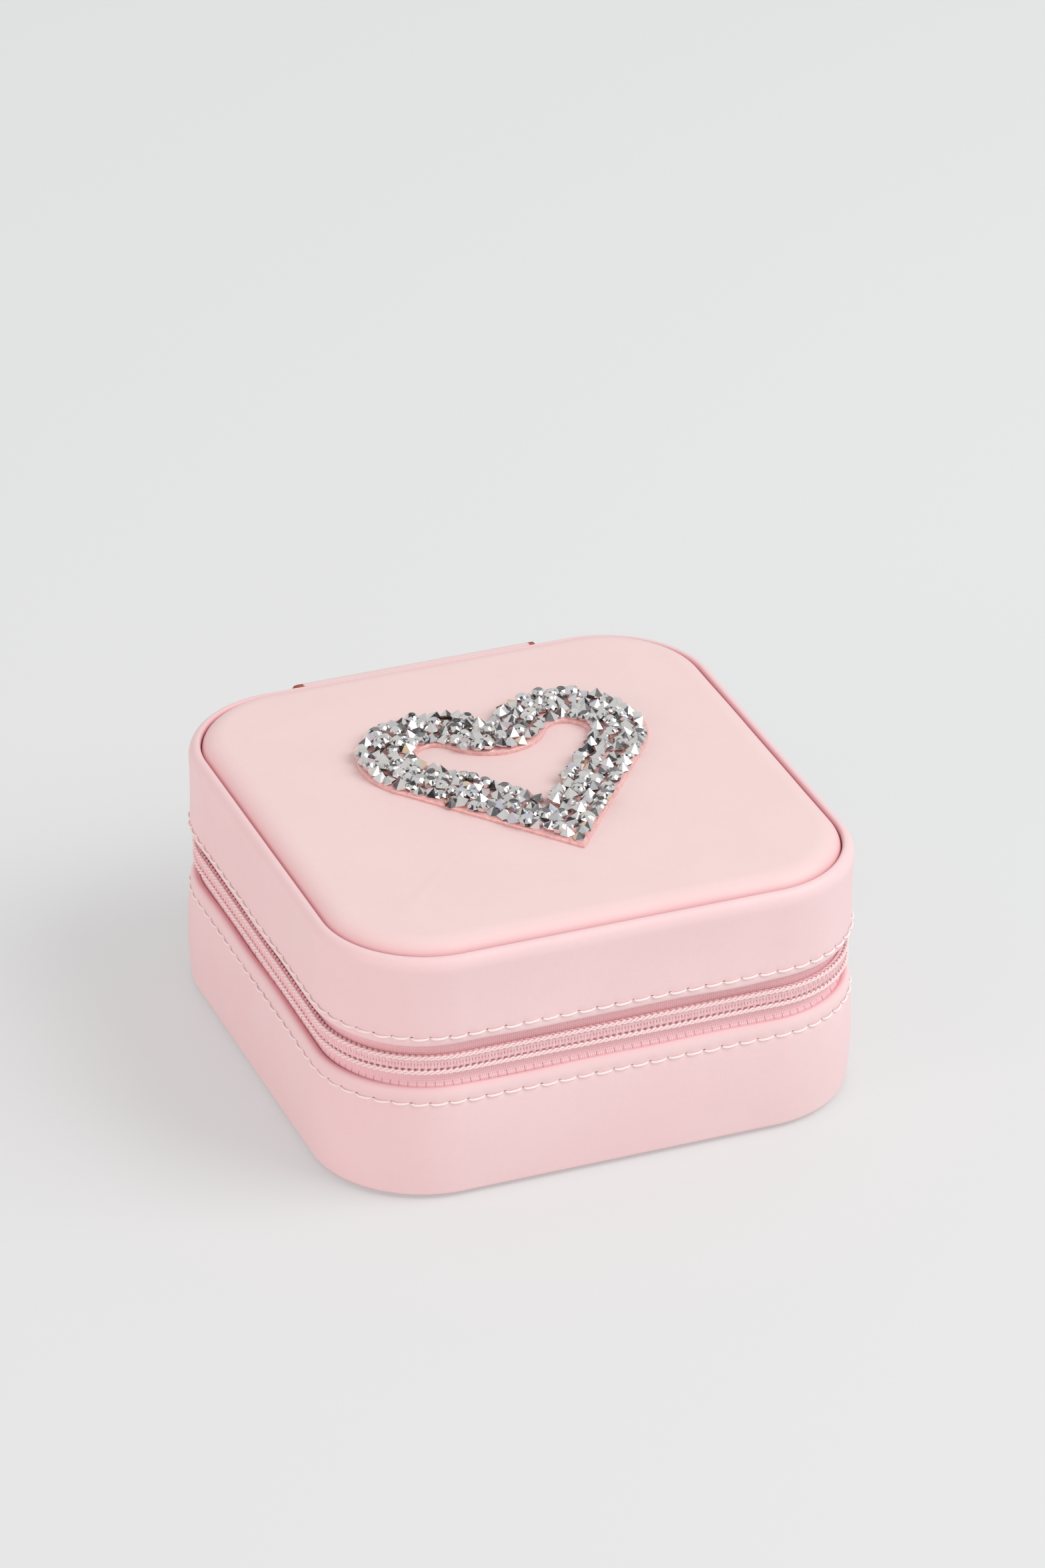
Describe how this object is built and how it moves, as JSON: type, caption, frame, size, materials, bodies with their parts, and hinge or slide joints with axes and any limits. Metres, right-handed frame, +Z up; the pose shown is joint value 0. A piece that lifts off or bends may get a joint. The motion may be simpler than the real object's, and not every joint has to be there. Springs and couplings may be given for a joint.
{
  "type": "leather jewellery case",
  "caption": "Square zip-round leather jewellery case with a strap-hinged padded lid, stone-set heart, mirror, ring rolls and divided compartments.",
  "frame": {"origin": "centre of the case's underside, on the surface it stands on", "axes": "+Z up, front of the case towards -Y, hinge strap towards +Y, slider on +X"},
  "size_m": [0.1029, 0.1012, 0.053],
  "materials": {
    "base_leather": "satin, fine grain",
    "lid_leather": "satin, fine grain",
    "strap_leather": "satin, raw reddish cut edge",
    "hinge_cloth": "plain weave",
    "foam": "open-cell foam",
    "board": "grey board",
    "velvet": "short velvet pile",
    "roll_velvet": "short velvet pile",
    "zip_tape": "fine herringbone weave",
    "zip_coil": "nylon monofilament",
    "zip_thread": "twisted thread",
    "nickel": "bright nickel plate",
    "mirror": "silvered glass",
    "film": "clear backing film",
    "stones": "faceted crystal, silvered"
  },
  "bodies": {
    "base": {"base_bottom_skin": "base_leather", "base_side_skin": "base_leather", "base_wall_foam": "foam", "base_floor_board": "board", "base_wall_board": "board", "base_lining": "velvet", "divider_long": "velvet", "divider_front": "velvet", "divider_rear": "velvet", "zip_tape_base": "zip_tape", "zip_coil_base": "zip_coil", "zip_thread_base": "zip_thread", "zip_end_stop_base": "nickel", "zip_bottom_stop": "nickel", "hinge_strap": "strap_leather", "hinge_cloth": "hinge_cloth", "ring_roll_1": "roll_velvet", "ring_roll_2": "roll_velvet", "ring_roll_3": "roll_velvet", "ring_roll_4": "roll_velvet", "ring_roll_5": "roll_velvet", "ring_roll_6": "roll_velvet"},
    "lid": {"lid_side_skin": "lid_leather", "lid_top_panel": "lid_leather", "lid_foam_pad": "foam", "lid_top_board": "board", "lid_wall_foam": "foam", "lid_wall_board": "board", "lid_lining": "velvet", "mirror_bezel": "velvet", "mirror": "mirror", "zip_tape_lid": "zip_tape", "zip_coil_lid": "zip_coil", "zip_thread_lid": "zip_thread", "zip_end_stop_lid": "nickel", "emblem_backing": "film", "emblem_stones": "stones"},
    "slider": {"slider_body": "nickel", "slider_crown": "nickel"},
    "pull": {"pull_tab": "nickel"}
  },
  "joints": [
    {"name": "lid_hinge", "type": "hinge", "parent": "base", "child": "lid", "pos_m": [0, 0.0506, 0.0269], "axis": [-1, 0, 0], "range_deg": [0, 110], "deforming": ["hinge_strap", "hinge_cloth"]},
    {"name": "zip_slide", "type": "slide", "parent": "base", "child": "slider", "axis": [0, -1, 0], "range_m": [0, 0.046]},
    {"name": "pull_flip", "type": "hinge", "parent": "slider", "child": "pull", "pos_m": [0.0513, 0.022, 0.0269], "axis": [0, 0, 1], "range_deg": [0, 170]}
  ]
}
